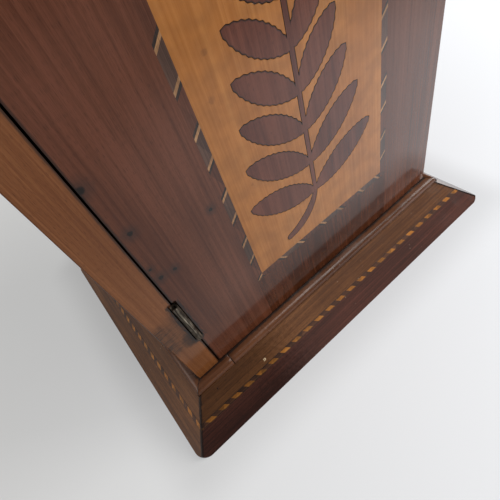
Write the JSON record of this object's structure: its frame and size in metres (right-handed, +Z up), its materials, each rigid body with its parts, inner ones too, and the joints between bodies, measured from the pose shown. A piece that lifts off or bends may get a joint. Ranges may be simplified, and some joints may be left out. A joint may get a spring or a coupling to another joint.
{
  "type": "marquetry box",
  "caption": "Upright table box on a splayed plinth, with a side-hung door inlaid with a leaf sprig, stringing, brass butt hinges, a cupboard lock and a loose shelf.",
  "frame": {"origin": "middle of the plinth's footprint, on the surface that the box stands on", "axes": "+Z up; -Y is the front, where the door is; +X is towards the door's free side, so the hinges are on the -X side"},
  "size_m": [0.2566, 0.2066, 0.301],
  "materials": {
    "mahogany_carcass": "French-polished mahogany, upright grain",
    "mahogany_stile": "French-polished warm orange-brown mahogany",
    "mahogany_band": "French-polished red-brown mahogany veneer, upright grain",
    "mahogany_rail": "French-polished dark mahogany veneer",
    "core_wood": "plain sawn and planed softwood and mahogany",
    "moulding_mahogany": "French-polished mahogany with worn edges",
    "plinth_upper": "French-polished mahogany veneer, grain along the plinth",
    "plinth_lower": "French-polished dark red-purple veneer, grain along the plinth",
    "chequer_boxwood": "orange-tan inlay, polished",
    "chequer_rosewood": "dark inlay, polished",
    "panel_satinwood": "polished honey-tan satinwood veneer, fine upright grain",
    "sprig_walnut": "polished mauve-brown veneer, fine upright grain",
    "stringing_boxwood": "pale inlay, polished",
    "stringing_ebony": "near-black inlay, polished",
    "stringing_rosewood": "grey-brown inlay, polished",
    "stringing_mahogany": "red-brown inlay, polished",
    "old_brass": "tarnished brass",
    "lock_steel": "dull steel"
  },
  "bodies": {
    "carcass": {"back_panel": "core_wood", "chequer_dark": "chequer_rosewood", "chequer_light": "chequer_boxwood", "corner_blocks": "core_wood", "floor_board": "core_wood", "hinge_frame_screws": "old_brass", "hinge_lower_frame_leaf": "old_brass", "hinge_lower_pin": "old_brass", "hinge_upper_frame_leaf": "old_brass", "hinge_upper_pin": "old_brass", "moulding_back": "moulding_mahogany", "moulding_front_long": "moulding_mahogany", "moulding_front_short": "moulding_mahogany", "moulding_left": "moulding_mahogany", "moulding_right": "moulding_mahogany", "plinth_back": "core_wood", "plinth_back_lower_veneer": "plinth_lower", "plinth_back_upper_veneer": "plinth_upper", "plinth_front": "core_wood", "plinth_front_lower_veneer": "plinth_lower", "plinth_front_upper_veneer": "plinth_upper", "plinth_left": "core_wood", "plinth_left_lower_veneer": "plinth_lower", "plinth_left_upper_veneer": "plinth_upper", "plinth_right": "core_wood", "plinth_right_lower_veneer": "plinth_lower", "plinth_right_upper_veneer": "plinth_upper", "shelf": "core_wood", "shelf_batten_left": "core_wood", "shelf_batten_right": "core_wood", "side_left": "mahogany_carcass", "side_right": "mahogany_carcass", "stile_veneer": "mahogany_stile", "strike_plate": "old_brass", "strike_screws": "old_brass", "top_board": "mahogany_carcass"},
    "door": {"door_core": "mahogany_carcass", "door_counter_veneer": "mahogany_rail", "door_veneer_left": "mahogany_band", "door_veneer_right": "mahogany_band", "door_veneer_top": "mahogany_rail", "door_veneer_bottom": "mahogany_rail", "stringing_pale": "stringing_boxwood", "stringing_dark": "stringing_ebony", "stringing_red": "stringing_mahogany", "stringing_grey": "stringing_rosewood", "sprig": "sprig_walnut", "panel_ground": "panel_satinwood", "hinge_lower_door_leaf": "old_brass", "hinge_upper_door_leaf": "old_brass", "hinge_door_screws": "old_brass", "lock_case": "old_brass", "lock_key_pin": "old_brass", "lock_screws": "old_brass", "keyhole_escutcheon": "old_brass"},
    "bolt": {"lock_bolt": "lock_steel"}
  },
  "joints": [
    {"name": "door_hinge", "type": "hinge", "parent": "carcass", "child": "door", "pos_m": [-0.0848, -0.0754, 0.157], "axis": [0, 0, -1], "range_deg": [0, 180]},
    {"name": "bolt_slide", "type": "slide", "parent": "door", "child": "bolt", "axis": [1, 0, 0], "range_m": [0, 0.006]}
  ]
}
